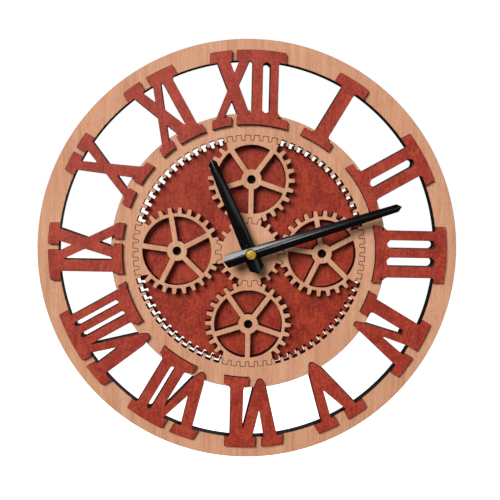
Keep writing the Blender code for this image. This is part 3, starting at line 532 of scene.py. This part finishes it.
def clear_widths(all_corners):
    """Edge rounding and rim width, narrowed until the inner lines of all outlines stay apart."""
    edge, rim = EDGE_ROUND, SCORCH_WIDTH
    while rim > NARROWEST_RIM:
        points, rings = [], []
        for corners in all_corners:
            line = contour(corners, edge + rim - KERF_TAKEN)
            rings.append(list(range(len(points), len(points) + len(line))))
            points += line
        if len(triangulated(points, rings)[0]) == len(points):
            break
        edge, rim = edge * EDGE_NARROWING, rim * RIM_NARROWING
    return edge, rim


def fill_cap(bm, rows, toward_front):
    """Closes the region between the innermost contours with flat faces."""
    verts = [vert for row in rows for vert in row]
    points = [Vector((v.co.x, v.co.z)) / MM for v in verts]
    rings = []
    first = 0
    for row in rows:
        ring = list(range(first, first + len(row)))
        area = sum(points[a].cross(points[b]) for a, b in zip(ring, ring[1:] + ring[:1]))
        rings.append(ring if area > 0 else ring[::-1])
        first += len(row)
    found, _, faces, origin, _, owners = triangulated(points, rings)
    depth = verts[0].co.y
    corners = [verts[o[0]] if o else bm.verts.new((p.x * MM, depth, p.y * MM))
               for p, o in zip(found, origin)]
    for face, owner in zip(faces, owners):
        if len(owner) % 2:
            ring = [corners[i] for i in face]
            bm.faces.new(ring if toward_front else ring[::-1])


def ring_at(bm, outline, depth):
    """Vertices of an outline at a depth from the wall, both in millimetres."""
    return [bm.verts.new((p.x * MM, -depth * MM, p.y * MM)) for p in outline]


def wall(bm, here, there):
    """Faces between two rings of as many vertices."""
    faces = []
    for i in range(len(here)):
        j = (i + 1) % len(here)
        faces.append(bm.faces.new((here[i], there[i], there[j], here[j])))
    return faces


def plate(node, circles, face_material):
    """Rebuilds a cut plate from its CAD outline."""
    back, front = depths_of(node)
    all_corners = [corners_of(with_arcs(outline, circles)) for outline in front_loops(node)]
    edge, rim = clear_widths(all_corners)
    eased_edge = edge * EASED_SHARE
    levels = [(edge + rim, front, 0.0), (edge, front, SCORCH_AT_EDGE),
              (eased_edge, front - eased_edge, 1.0), (0.0, front - edge, 1.0),
              (0.0, back + edge, 1.0), (eased_edge, back + eased_edge, 1.0),
              (edge, back, SCORCH_AT_EDGE), (edge + rim, back, 0.0)]
    bm = bmesh.new()
    scorch = bm.verts.layers.float.new("scorch")
    fronts, backs = [], []
    for corners in all_corners:
        rows = []
        for distance, depth, burn in levels:
            row = ring_at(bm, contour(corners, distance - KERF_TAKEN), depth)
            for vert in row:
                vert[scorch] = burn
            rows.append(row)
        for number, (here, there) in enumerate(zip(rows, rows[1:])):
            for face in wall(bm, here, there):
                face.material_index = 1 if number in CHARRED_STEPS else 0
        fronts.append(rows[0])
        backs.append(rows[-1])
    fill_cap(bm, fronts, True)
    fill_cap(bm, backs, False)
    return settle(bm, node + "_cut", [face_material, CHAR], [node])


def wooden_face():
    plate("outer_ring", RING_CIRCLES, LIGHT_WOOD)
    plate("gear_ring", RING_CIRCLES, LIGHT_WOOD)
    plate("sun_gear", SUN_CIRCLES, LIGHT_WOOD)
    for side, place in PLANET_PLACES.items():
        middle = Vector(place)
        circles = [(middle, r) for r in (24.5, 7.2, 3.1)] + [(CENTRE, 83.1)]
        plate("planet_gear_" + side, circles, LIGHT_WOOD)
    plate("backing_disc", DISC_CIRCLES, DISC_RED)
    for hour in range(1, 13):
        plate(f"numeral_{hour}", NUMERAL_CIRCLES, NUMERAL_RED)
        plate(f"bridge_{hour}", BRIDGE_CIRCLES, LIGHT_WOOD)


# ---- Metal, plastic and the movement ----

# Axes for turned pieces: the direction along, and the two across that angles are counted from
DEPTH_AXIS = (Vector((0.0, -1.0, 0.0)), Vector((0.0, 0.0, 1.0)), Vector((1.0, 0.0, 0.0)))
RIGHT_AXIS = (Vector((1.0, 0.0, 0.0)), Vector((0.0, 0.0, 1.0)), Vector((0.0, -1.0, 0.0)))
UP_AXIS = (Vector((0.0, 0.0, 1.0)), Vector((1.0, 0.0, 0.0)), Vector((0.0, -1.0, 0.0)))


def turned(bm, profile, sides, axis=DEPTH_AXIS, origin=(0.0, 0.0, 0.0), material=0):
    """Solid round an axis from a closed profile of (radius, distance along the axis).

    A radius may be a function of the angle and the distance, for teeth, flats and threads.
    """
    along, first, second = axis
    rings = []
    for radius, distance in profile:
        centre = Vector(origin) + along * distance
        if radius == 0.0:
            rings.append([bm.verts.new(centre * MM)])
            continue
        ring = []
        for i in range(sides):
            angle = 2 * pi * i / sides
            reach = radius(angle, distance) if callable(radius) else radius
            ring.append(bm.verts.new((centre + (first * cos(angle) + second * sin(angle)) * reach) * MM))
        rings.append(ring)
    for here, there in zip(rings, rings[1:] + rings[:1]):
        for i in range(sides):
            corners = [here[i % len(here)], here[(i + 1) % len(here)],
                       there[(i + 1) % len(there)], there[i % len(there)]]
            corners = list(dict.fromkeys(corners))
            if len(corners) > 2:
                bm.faces.new(corners).material_index = material


def eased(profile, radius, steps=3):
    """Rounds the corners of a closed profile, apart from those on the axis."""
    points = []
    for i, here in enumerate(profile):
        before, after = Vector(profile[i - 1]), Vector(profile[(i + 1) % len(profile)])
        here = Vector(here)
        if here.x == 0.0 or (before - here).length < TINY or (after - here).length < TINY:
            points.append(tuple(here))
            continue
        reach = min(radius, SHARE_OF_SIDE * (before - here).length,
                    SHARE_OF_SIDE * (after - here).length)
        start = here + (before - here).normalized() * reach
        end = here + (after - here).normalized() * reach
        for k in range(steps + 1):
            t = k / steps
            points.append(tuple(start * (1 - t) ** 2 + here * (2 * t * (1 - t)) + end * t * t))
    return points


def block(bm, low, high, edge, material=0):
    """Box between two corners in millimetres, with rounded edges."""
    box = bmesh.new()
    bmesh.ops.create_cube(box, size=1.0)
    for vert in box.verts:
        vert.co = [(l + (h - l) * (c + 0.5)) * MM for l, h, c in zip(low, high, vert.co)]
    bmesh.ops.bevel(box, geom=box.edges[:], offset=edge * MM, segments=2, profile=0.5, affect="EDGES")
    for face in box.faces:
        face.material_index = material
    mesh = bpy.data.meshes.new("block")
    box.to_mesh(mesh)
    box.free()
    bm.from_mesh(mesh)
    bpy.data.meshes.remove(mesh)


def rounded(bm, width, segments, low_angle, high_angle=180.0):
    """Bevels the outward edges whose angle in degrees lies between two limits."""
    hard = [e for e in bm.edges
            if e.is_convex and low_angle < e.calc_face_angle(0.0) * 180 / pi <= high_angle]
    bmesh.ops.bevel(bm, geom=hard, offset=width * MM, segments=segments, profile=0.5,
                    affect="EDGES", clamp_overlap=True)


def clean_cad(node):
    """The CAD node with its coplanar triangles joined."""
    bm = cad_mesh(node)
    bmesh.ops.dissolve_limit(bm, angle_limit=radians(0.3), verts=bm.verts, edges=bm.edges)
    return bm


def softened(node, material, width, segments=2, angle=20.0):
    """The CAD node with its hard edges rounded."""
    bm = clean_cad(node)
    rounded(bm, width, segments, angle)
    return settle(bm, node + "_smooth", [material], [node], 30.0)


# Curl of the hands' sides, and the lines along a hand between which it bends
HAND_HALF_WIDTH = 4.75
HAND_CURL = 0.3
CURL_LINES = [0.7 * k for k in range(-7, 8) if k]


def hand(node, collet):
    """Folded sheet whose sides curl down a little, and the collet that is riveted under it."""
    bm = clean_cad(node)
    tip = max((vert.co for vert in bm.verts), key=lambda point: point.x ** 2 + point.z ** 2)
    across = Vector((tip.z, 0.0, -tip.x)).normalized()
    for offset in CURL_LINES:
        bmesh.ops.bisect_plane(bm, geom=[*bm.verts, *bm.edges, *bm.faces], plane_co=across * (offset * MM),
                               plane_no=across)
    for vert in bm.verts:
        vert.co.y += HAND_CURL * MM * (vert.co.dot(across) / (HAND_HALF_WIDTH * MM)) ** 2
    cut_edges_from = 60.0
    rounded(bm, 0.08, 2, cut_edges_from)
    turned(bm, eased(collet, 0.15), 48, material=1)
    settle(bm, node + "_folded", [LACQUER, BRASS], [node], 25.0)


def hands():
    hand("hour_hand", [(2.65, 38.6), (3.9, 38.6), (3.9, 40.6), (4.4, 40.6), (4.4, 41.1), (2.65, 41.1)])
    hand("minute_hand", [(1.7, 43.0), (2.9, 43.0), (2.9, 44.3), (3.3, 44.3), (3.3, 44.75), (1.7, 44.75)])


def hand_cap():
    """Turned cap: chamfered side, and a slightly crowned front with fine tool marks."""
    low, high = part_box("hand_cap")
    radius = (high.x - low.x) / 2 / MM
    back, front = depths_of("hand_cap")
    bore, marks, crown, mark_depth = 1.5, 9, 0.10, 0.035
    grooves = []
    for k in range(marks + 1):
        reach = radius * (0.86 - 0.8 * k / marks)
        cut = mark_depth if k % 2 else 0.0
        grooves.append((reach, front - crown * (1.0 - k / marks) ** 2 - cut))
    side = [(radius - 0.3, back), (radius, back + 0.3), (radius, front - 0.9),
            (radius - 0.15, front - 0.5), (radius - 0.42, front - 0.16)]
    profile = [(bore, back), *side, *grooves, (0.0, front), (0.0, front - 1.7), (bore, front - 1.7)]
    bm = bmesh.new()
    turned(bm, profile, 96)
    settle(bm, "hand_cap_turned", [BRASS], ["hand_cap"], 25.0)


def bushing_and_nut():
    """Threaded bushing, and the chamfered nut that clamps the face between it and the case."""
    back, front = depths_of("threaded_bushing")
    flange, crest, root, bore, pitch = 5.0, 4.0, 3.6, 2.9, 0.75
    start, end = back + 1.6, front - 0.45

    def thread(angle, distance):
        turn = (distance / pitch - angle / (2 * pi)) % 1.0
        ease = min(1.0, (distance - start) / pitch, (end - distance) / pitch)
        return crest - (crest - root) * max(0.0, ease) * (1.0 - abs(2.0 * turn - 1.0))

    rows = ceil((end - start) / (pitch / 8))
    threads = [(thread, start + (end - start) * k / rows) for k in range(rows + 1)]
    profile = [(bore, back), (flange, back), (flange, back + 1.0), (crest, back + 1.0), *threads,
               (crest - 0.4, front), (bore, front)]
    bm = bmesh.new()
    turned(bm, profile, 48)
    settle(bm, "threaded_bushing_cut", [BRASS], ["threaded_bushing"], 35.0)

    back, front = depths_of("hex_nut")
    flat = 5.0

    def hexagon(limit):
        def reach(angle, distance):
            away = (angle % (pi / 3)) - pi / 6
            return min(flat / cos(away), limit)
        return reach

    corner = 2 * flat / sqrt(3.0)
    bore, chamfer = 4.35, 0.35
    profile = [(bore, back), (bore + 0.25, back), (hexagon(flat), back), (hexagon(corner), back + chamfer),
               (hexagon(corner), front - chamfer), (hexagon(flat), front), (bore + 0.25, front),
               (bore, front - 0.25)]
    bm = bmesh.new()
    turned(bm, profile, 72)
    settle(bm, "hex_nut_chamfered", [BRASS], ["hex_nut"], 22.0)


def battery():
    """Round cell in a plain sleeve: rolled rims, a dished base and a stepped pole."""
    low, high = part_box("battery")
    radius = (high.z - low.z) / 2 / MM
    length = (high.x - low.x) / MM
    middle = (low.x / MM, (low.y + high.y) / 2 / MM, (low.z + high.z) / 2 / MM)
    shoulder = length - 1.2
    base = [(0.0, 0.35), (radius - 2.2, 0.35), (radius - 1.6, 0.0), (radius - 0.6, 0.0),
            (radius - 0.15, 0.3), (radius - 0.15, 0.9), (0.0, 0.9)]
    sleeve = [(0.0, 0.9), (radius - 0.1, 0.9), (radius, 1.1), (radius, shoulder - 0.7),
              (radius - 0.25, shoulder - 0.25), (radius - 0.9, shoulder - 0.1), (0.0, shoulder - 0.1)]
    pole = [(0.0, shoulder - 0.1), (radius - 1.2, shoulder - 0.1), (radius - 2.4, shoulder),
            (2.8, shoulder), (2.6, shoulder + 0.3), (2.6, shoulder + 1.05), (2.3, shoulder + 1.2),
            (0.0, shoulder + 1.2)]
    bm = bmesh.new()
    for profile, material in ((base, 1), (sleeve, 0), (pole, 1)):
        turned(bm, eased(profile, 0.15, 2), 64, RIGHT_AXIS, middle, material)
    settle(bm, "battery_cell", [JACKET, STEEL], ["battery"], 35.0)


def coil():
    """Fine copper wire wound between two plastic flanges."""
    low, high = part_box("coil")
    middle = ((low.x + high.x) / 2 / MM, (low.y + high.y) / 2 / MM, low.z / MM)
    radius = (high.x - low.x) / 2 / MM
    height = (high.z - low.z) / MM
    bore, flange, wire = 1.35, 0.8, 0.22
    valley, crest = radius - 0.62, radius - 0.52
    turns = round((height - 2 * flange) / wire)
    pitch = (height - 2 * flange) / turns
    winding = []
    for k in range(turns):
        start = flange + pitch * k
        winding += [(valley, start), (crest, start + 0.3 * pitch), (crest, start + 0.7 * pitch)]
    bm = bmesh.new()
    ends = [(bore, 0.0), (radius, 0.0), (radius, flange), (bore, flange)]
    far = (middle[0], middle[1], middle[2] + height - flange)
    for foot in (middle, far):
        turned(bm, eased(ends, 0.12), 40, UP_AXIS, foot, 1)
    turned(bm, [(bore, flange), *winding, (valley, height - flange), (bore, height - flange)],
           40, UP_AXIS, middle, 0)
    settle(bm, "coil_wound", [COPPER, WHITE_PLASTIC], ["coil"], 35.0)


def set_knob():
    """Ribbed knob with a dished face, its shaft and the pinion that turns the motion work."""
    low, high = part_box("set_knob")
    place = ((low.x + high.x) / 2 / MM, 0.0, (low.z + high.z) / 2 / MM)
    back, front = depths_of("set_knob")
    grip, ribs, teeth = 5.6, 20, 10
    pinion_tip, tooth_depth, rib_depth = 2.9, 0.7, 0.2

    def ribbed(radius):
        return lambda angle, distance: radius - rib_depth * (1.0 + cos(ribs * angle))

    def pinion(angle, distance):
        along_tooth = (angle * teeth / (2 * pi) + 0.5) % 1.0
        return pinion_tip - tooth_depth * abs(2.0 * along_tooth - 1.0) ** 0.8

    dish = [(0.0, back + 0.55), (1.4, back + 0.5), (3.4, back + 0.35), (3.9, back + 0.05), (4.3, back)]
    rim = [(ribbed(grip - 0.25), back), (ribbed(grip), back + 0.25), (ribbed(grip), back + 1.75),
           (ribbed(grip - 0.25), back + 2.0)]
    shaft = [(1.7, back + 2.0), (1.2, back + 2.4), (1.2, front - 1.4), (pinion, front - 1.4),
             (pinion, front), (0.0, front)]
    bm = bmesh.new()
    turned(bm, dish + rim + shaft, 240, origin=place)
    settle(bm, "set_knob_turned", [BLACK_PLASTIC], ["set_knob"], 32.0)


def arc_points(centre, radius, low, high, step=6.0):
    """Points of an arc between two clock angles in degrees."""
    count = max(1, ceil(abs(high - low) / step))
    angles = [radians(low + (high - low) * k / count) for k in range(count + 1)]
    return [Vector((centre.x + radius * sin(a), centre.y + radius * cos(a))) for a in angles]


def sunk(bm, outline, depth, floor_depth):
    """Engraves an outline into a face; returns its rim for the face around it."""
    rim = ring_at(bm, outline, depth)
    floor = ring_at(bm, outline, floor_depth)
    wall(bm, rim, floor)
    fill_cap(bm, [floor], False)
    return rim


def back_cover():
    """Snap-in cover: bevelled rim, a groove round it, and a turning arrow round the knob's hole."""
    low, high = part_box("back_cover")
    left, right, bottom, top = low.x / MM, high.x / MM, low.z / MM, high.z / MM
    back, front = depths_of("back_cover")
    knob_low, knob_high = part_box("set_knob")
    knob = Vector(((knob_low.x + knob_high.x) / 2 / MM, (knob_low.z + knob_high.z) / 2 / MM))
    hole, engraving = 6.2, 0.3

    def frame_at(inset, corner):
        """Outline of the cover moved inwards, with rounded corners."""
        reach = inset + corner
        places = ((right - reach, top - reach), (right - reach, bottom + reach),
                  (left + reach, bottom + reach), (left + reach, top - reach))
        points = []
        for quarter, (x, z) in enumerate(places):
            points += arc_points(Vector((x, z)), corner, 90.0 * quarter, 90.0 * (quarter + 1), 15.0)
        return points

    start, end, point_turn = 120.0, 235.0, 16.0
    inner, outer, head_inner, head_middle, head_outer = 7.5, 8.3, 6.9, 7.9, 8.9
    head = [arc_points(knob, head_inner, end, end)[0],
            arc_points(knob, head_middle, end + point_turn, end)[0],
            arc_points(knob, head_outer, end, end)[0]]
    arrow = arc_points(knob, inner, start, end) + head + arc_points(knob, outer, end, start)
    levels = [(0.35, back), (0.1, back + 0.1), (0.0, back + 0.35), (0.0, front - 0.2), (0.2, front)]
    bm = bmesh.new()
    edges, holes = [], []
    for inset, depth in levels:
        edges.append(ring_at(bm, frame_at(inset, 1.5 - inset), depth))
        holes.append(ring_at(bm, arc_points(knob, hole + inset, 0.0, 360.0, 7.5)[:-1], depth))
    for rows in (edges, holes):
        for here, there in zip(rows, rows[1:]):
            wall(bm, here, there)
    mark = sunk(bm, arrow, back, back + engraving)
    groove = (frame_at(2.2, 1.2), frame_at(2.9, 0.9))
    rims = [ring_at(bm, outline, back) for outline in groove]
    floors = [ring_at(bm, outline, back + engraving) for outline in groove]
    for rim, floor in zip(rims, floors):
        wall(bm, rim, floor)
    wall(bm, *floors)
    fill_cap(bm, [edges[0], rims[0]], False)
    fill_cap(bm, [rims[1], holes[0], mark], False)
    fill_cap(bm, [edges[-1], holes[-1]], True)
    settle(bm, "back_cover_moulded", [BLACK_PLASTIC], ["back_cover"], 30.0)


def movement_case():
    """Case with softened edges, ribs down its sides and the catches of the cover."""
    bm = clean_cad("movement_case")
    rounded(bm, 0.35, 3, 20.0)
    low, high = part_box("movement_case")
    half, depth = high.x / MM, -low.y / MM
    sunk_in, rib_height, catch_height = 0.1, 0.35, 0.5
    for side in (-1, 1):
        wall_at = side * (half - sunk_in)
        rib = sorted((wall_at, side * (half + rib_height)))
        catch = sorted((wall_at, side * (half + catch_height)))
        for z in (-20.0, -12.0, -4.0, 4.0, 12.0, 20.0):
            block(bm, (rib[0], -(depth - 2.0), z - 0.6), (rib[1], -1.6, z + 0.6), 0.15)
        for x in (-12.0, 12.0):
            block(bm, (x - 3.0, -6.5, catch[0]), (x + 3.0, -3.5, catch[1]), 0.2)
    settle(bm, "movement_case_moulded", [BLACK_PLASTIC], ["movement_case"], 30.0)


def contacts():
    """Sprung steel strips, each with a pressed dimple towards the battery."""
    cell_low, cell_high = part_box("battery")
    middle_y, middle_z = (cell_low.y + cell_high.y) / 2 / MM, (cell_low.z + cell_high.z) / 2 / MM
    for node, side in (("positive_contact", -1.0), ("negative_contact", 1.0)):
        low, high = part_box(node)
        bm = clean_cad(node)
        rounded(bm, 0.08, 2, 20.0)
        face = (low.x if side < 0 else high.x) / MM
        axis = (RIGHT_AXIS[0] * side, RIGHT_AXIS[1], RIGHT_AXIS[2] * side)
        dimple = [(0.0, -0.15), (2.4, -0.15), (2.3, 0.0), (1.7, 0.1), (1.0, 0.2), (0.0, 0.24)]
        turned(bm, dimple, 32, axis, (face, middle_y, middle_z))
        settle(bm, node + "_pressed", [STEEL], [node], 30.0)


def movement():
    movement_case()
    back_cover()
    set_knob()
    battery()
    contacts()
    coil()
    bushing_and_nut()
    hand_cap()
    hands()
    softened("hanger_loop", BLACK_PLASTIC, 0.4, 3)
    for node in ("hour_wheel", "minute_wheel", "third_wheel", "seconds_wheel", "intermediate_wheel"):
        softened(node, WHITE_PLASTIC, 0.06, 1)
    softened("middle_plate", WHITE_PLASTIC, 0.15)
    softened("centre_wheel", BRASS, 0.08)
    for node in ("stator", "rotor", "quartz_crystal"):
        softened(node, STEEL, 0.08)
    softened("rubber_gasket", RUBBER, 0.25, 3)
    softened("circuit_board", BOARD, 0.1)
    softened("driver_chip", CHIP, 0.15)


# ---- Camera, light and floor ----

def place_camera():
    camera = bpy.data.objects.new("camera", bpy.data.cameras.new("camera"))
    camera.data.lens = LENS
    camera.data.clip_start = 0.01
    camera.location = EYE
    camera.rotation_mode = "QUATERNION"
    look = (AIM - EYE).to_track_quat("-Z", "Y")
    camera.rotation_quaternion = look @ Quaternion((0.0, 0.0, 1.0), ROLL)
    bpy.context.scene.collection.objects.link(camera)
    bpy.context.scene.camera = camera


def area_light(name, place, size, power):
    light = bpy.data.lights.new(name, "AREA")
    light.size = size
    light.energy = power
    lamp = bpy.data.objects.new(name, light)
    lamp.location = place
    lamp.rotation_euler = (-Vector(place)).to_track_quat("-Z", "Y").to_euler()
    bpy.context.scene.collection.objects.link(lamp)


# Softboxes aimed at the clock: name, place, size and power in watts
LIGHTS = [("key", (-1.50, -3.45, 1.48), 1.6, 154.0),
          ("front", (0.12, -2.3, -0.2), 0.7, 0.8),
          ("right", (1.10, -2.1, 0.50), 0.9, 3.6),
          ("back", (0.9, 1.5, 1.0), 1.0, 34.0),
          ("back_fill", (-1.4, 1.2, 0.2), 1.4, 8.0)]
AMBIENT = 0.05            # strength of the surround for all but camera rays


def studio():
    """Softboxes, and a surround that is white to the camera and dim to everything else."""
    for light in LIGHTS:
        area_light(*light)
    world = bpy.data.worlds.new("surround")
    world.use_nodes = True
    bpy.context.scene.world = world
    nodes, links = world.node_tree.nodes, world.node_tree.links
    soft = nodes["Background"]
    soft.inputs["Strength"].default_value = AMBIENT
    soft.inputs["Color"].default_value = WHITE
    seen = nodes.new("ShaderNodeBackground")
    seen.inputs["Color"].default_value = WHITE
    rays = nodes.new("ShaderNodeLightPath")
    mixer = nodes.new("ShaderNodeMixShader")
    links.new(rays.outputs["Is Camera Ray"], mixer.inputs["Fac"])
    links.new(soft.outputs["Background"], mixer.inputs[1])
    links.new(seen.outputs["Background"], mixer.inputs[2])
    links.new(mixer.outputs["Shader"], nodes["World Output"].inputs["Surface"])


def pale_floor():
    """Plain white floor that the camera sees but that neither lights the clock nor mirrors in it."""
    half, height = 9.0, -0.7
    corners = [(x, y, height) for x, y in ((-half, -half), (half, -half), (half, half), (-half, half))]
    mesh = bpy.data.meshes.new("floor")
    mesh.from_pydata(corners, [], [(0, 1, 2, 3)])
    tree = Tree("pale_floor")
    mottle = tree.noise((300.0, 300.0, 300.0), detail=3.0)
    tree.shader.inputs["Emission Color"].default_value = WHITE
    tree.shader.inputs["Emission Strength"].default_value = 1.0
    colour = tree.ramp(mottle, [(0.3, (0.86, 0.86, 0.855)), (0.7, (0.9, 0.9, 0.895))])
    mesh.materials.append(tree.finish(colour, 0.9, specular=0.1))
    floor = bpy.data.objects.new("floor", mesh)
    floor.visible_diffuse = False
    floor.visible_glossy = False
    bpy.context.scene.collection.objects.link(floor)


place_camera()
studio()
pale_floor()
wooden_face()
movement()

bpy.context.scene.view_settings.view_transform = "Standard"
